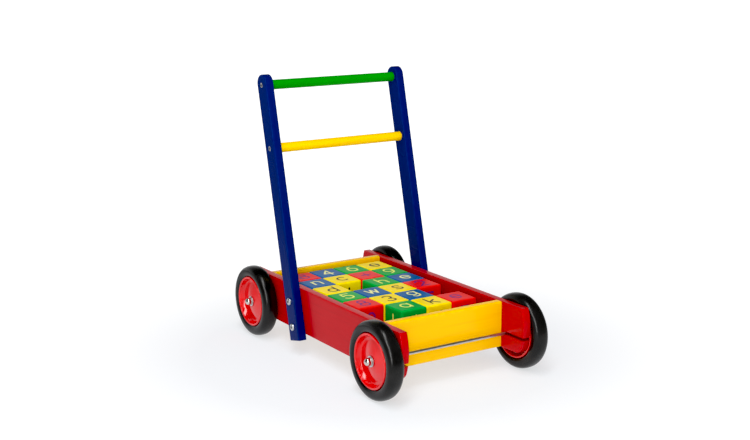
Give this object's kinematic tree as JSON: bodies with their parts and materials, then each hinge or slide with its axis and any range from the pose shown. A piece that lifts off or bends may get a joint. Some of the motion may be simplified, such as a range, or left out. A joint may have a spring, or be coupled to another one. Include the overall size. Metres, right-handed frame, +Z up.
{
  "type": "baby walker",
  "caption": "Push-along wooden baby walker: a shallow tray of loose cube blocks on four dished wheels, with a leaning handle frame of two uprights and two round cross bars.",
  "frame": {"origin": "on the floor under the middle of the bounding box, which is the middle of the four wheels", "axes": "+Z up; -Y is the front, the way the walker is pushed; +X is to the left of the child behind the handle"},
  "size_m": [0.307, 0.501, 0.4487],
  "materials": {
    "red_paint": "satin paint",
    "yellow_paint": "satin paint",
    "blue_paint": "satin paint",
    "green_paint": "satin paint",
    "rail_yellow_paint": "satin paint",
    "birch_ply": "sanded",
    "bare_beech": "bare",
    "steel_rod": "drawn rod",
    "zinc_steel": "zinc plated",
    "chromed_steel": "bright plated",
    "tyre_rubber": "smooth rubber",
    "wheel_red": "gloss",
    "block_red": "satin paint",
    "block_blue": "satin paint",
    "block_green": "satin paint",
    "block_yellow": "satin paint"
  },
  "bodies": {
    "frame": {"side_panel_left": "red_paint", "side_panel_right": "red_paint", "end_panel_front": "yellow_paint", "end_panel_rear": "yellow_paint", "base_board": "birch_ply", "joint_dowels": "bare_beech", "axle_front": "steel_rod", "axle_rear": "steel_rod", "inner_washers": "zinc_steel", "outer_washers": "zinc_steel", "axle_caps": "chromed_steel", "upright_left": "blue_paint", "upright_right": "blue_paint", "handle_bar": "green_paint", "lower_rail": "rail_yellow_paint", "upright_bolts": "chromed_steel", "bolt_nuts": "zinc_steel", "handle_screws": "zinc_steel"},
    "wheel_front_left": {"tyre_front_left": "tyre_rubber", "wheel_disc_front_left": "wheel_red", "hub_sleeve_front_left": "zinc_steel"},
    "wheel_front_right": {"tyre_front_right": "tyre_rubber", "wheel_disc_front_right": "wheel_red", "hub_sleeve_front_right": "zinc_steel"},
    "wheel_rear_left": {"tyre_rear_left": "tyre_rubber", "wheel_disc_rear_left": "wheel_red", "hub_sleeve_rear_left": "zinc_steel"},
    "wheel_rear_right": {"tyre_rear_right": "tyre_rubber", "wheel_disc_rear_right": "wheel_red", "hub_sleeve_rear_right": "zinc_steel"},
    "loose_block_r1c1": {"block_r1c1": "block_red"},
    "loose_block_r1c2": {"block_r1c2": "block_blue"},
    "loose_block_r1c3": {"block_r1c3": "block_green"},
    "loose_block_r1c4": {"block_r1c4": "block_yellow"},
    "loose_block_r2c1": {"block_r2c1": "block_blue"},
    "loose_block_r2c2": {"block_r2c2": "block_yellow"},
    "loose_block_r2c3": {"block_r2c3": "block_red"},
    "loose_block_r2c4": {"block_r2c4": "block_green"},
    "loose_block_r3c1": {"block_r3c1": "block_yellow"},
    "loose_block_r3c3": {"block_r3c3": "block_green"},
    "loose_block_r3c4": {"block_r3c4": "block_blue"},
    "loose_block_r4c1": {"block_r4c1": "block_green"},
    "loose_block_r4c2": {"block_r4c2": "block_blue"},
    "loose_block_r4c3": {"block_r4c3": "block_yellow"},
    "loose_block_r4c4": {"block_r4c4": "block_red"},
    "loose_block_r5c1": {"block_r5c1": "block_red"},
    "loose_block_r5c2": {"block_r5c2": "block_yellow"},
    "loose_block_r5c3": {"block_r5c3": "block_blue"},
    "loose_block_r6c2": {"block_r6c2": "block_green"},
    "loose_block_r6c3": {"block_r6c3": "block_yellow"},
    "loose_block_r6c4": {"block_r6c4": "block_red"}
  },
  "joints": [
    {"name": "spin_front_left", "type": "hinge", "parent": "frame", "child": "wheel_front_left", "pos_m": [0, -0.1905, 0.06], "axis": [1, 0, 0], "continuous": true},
    {"name": "spin_front_right", "type": "hinge", "parent": "frame", "child": "wheel_front_right", "pos_m": [0, -0.1905, 0.06], "axis": [1, 0, 0], "continuous": true},
    {"name": "spin_rear_left", "type": "hinge", "parent": "frame", "child": "wheel_rear_left", "pos_m": [0, 0.1905, 0.06], "axis": [1, 0, 0], "continuous": true},
    {"name": "spin_rear_right", "type": "hinge", "parent": "frame", "child": "wheel_rear_right", "pos_m": [0, 0.1905, 0.06], "axis": [1, 0, 0], "continuous": true},
    {"name": "lift_r1c1", "type": "slide", "parent": "frame", "child": "loose_block_r1c1", "axis": [0, 0, 1], "range_m": [0, 0.06]},
    {"name": "lift_r1c2", "type": "slide", "parent": "frame", "child": "loose_block_r1c2", "axis": [0, 0, 1], "range_m": [0, 0.06]},
    {"name": "lift_r1c3", "type": "slide", "parent": "frame", "child": "loose_block_r1c3", "axis": [0, 0, 1], "range_m": [0, 0.06]},
    {"name": "lift_r1c4", "type": "slide", "parent": "frame", "child": "loose_block_r1c4", "axis": [0, 0, 1], "range_m": [0, 0.06]},
    {"name": "lift_r2c1", "type": "slide", "parent": "frame", "child": "loose_block_r2c1", "axis": [0, 0, 1], "range_m": [0, 0.06]},
    {"name": "lift_r2c2", "type": "slide", "parent": "frame", "child": "loose_block_r2c2", "axis": [0, 0, 1], "range_m": [0, 0.06]},
    {"name": "lift_r2c3", "type": "slide", "parent": "frame", "child": "loose_block_r2c3", "axis": [0, 0, 1], "range_m": [0, 0.06]},
    {"name": "lift_r2c4", "type": "slide", "parent": "frame", "child": "loose_block_r2c4", "axis": [0, 0, 1], "range_m": [0, 0.06]},
    {"name": "lift_r3c1", "type": "slide", "parent": "frame", "child": "loose_block_r3c1", "axis": [0, 0, 1], "range_m": [0, 0.06]},
    {"name": "lift_r3c3", "type": "slide", "parent": "frame", "child": "loose_block_r3c3", "axis": [0, 0, 1], "range_m": [0, 0.06]},
    {"name": "lift_r3c4", "type": "slide", "parent": "frame", "child": "loose_block_r3c4", "axis": [0, 0, 1], "range_m": [0, 0.06]},
    {"name": "lift_r4c1", "type": "slide", "parent": "frame", "child": "loose_block_r4c1", "axis": [0, 0, 1], "range_m": [0, 0.06]},
    {"name": "lift_r4c2", "type": "slide", "parent": "frame", "child": "loose_block_r4c2", "axis": [0, 0, 1], "range_m": [0, 0.06]},
    {"name": "lift_r4c3", "type": "slide", "parent": "frame", "child": "loose_block_r4c3", "axis": [0, 0, 1], "range_m": [0, 0.06]},
    {"name": "lift_r4c4", "type": "slide", "parent": "frame", "child": "loose_block_r4c4", "axis": [0, 0, 1], "range_m": [0, 0.06]},
    {"name": "lift_r5c1", "type": "slide", "parent": "frame", "child": "loose_block_r5c1", "axis": [0, 0, 1], "range_m": [0, 0.06]},
    {"name": "lift_r5c2", "type": "slide", "parent": "frame", "child": "loose_block_r5c2", "axis": [0, 0, 1], "range_m": [0, 0.06]},
    {"name": "lift_r5c3", "type": "slide", "parent": "frame", "child": "loose_block_r5c3", "axis": [0, 0, 1], "range_m": [0, 0.06]},
    {"name": "lift_r6c2", "type": "slide", "parent": "frame", "child": "loose_block_r6c2", "axis": [0, 0, 1], "range_m": [0, 0.06]},
    {"name": "lift_r6c3", "type": "slide", "parent": "frame", "child": "loose_block_r6c3", "axis": [0, 0, 1], "range_m": [0, 0.06]},
    {"name": "lift_r6c4", "type": "slide", "parent": "frame", "child": "loose_block_r6c4", "axis": [0, 0, 1], "range_m": [0, 0.06]}
  ]
}
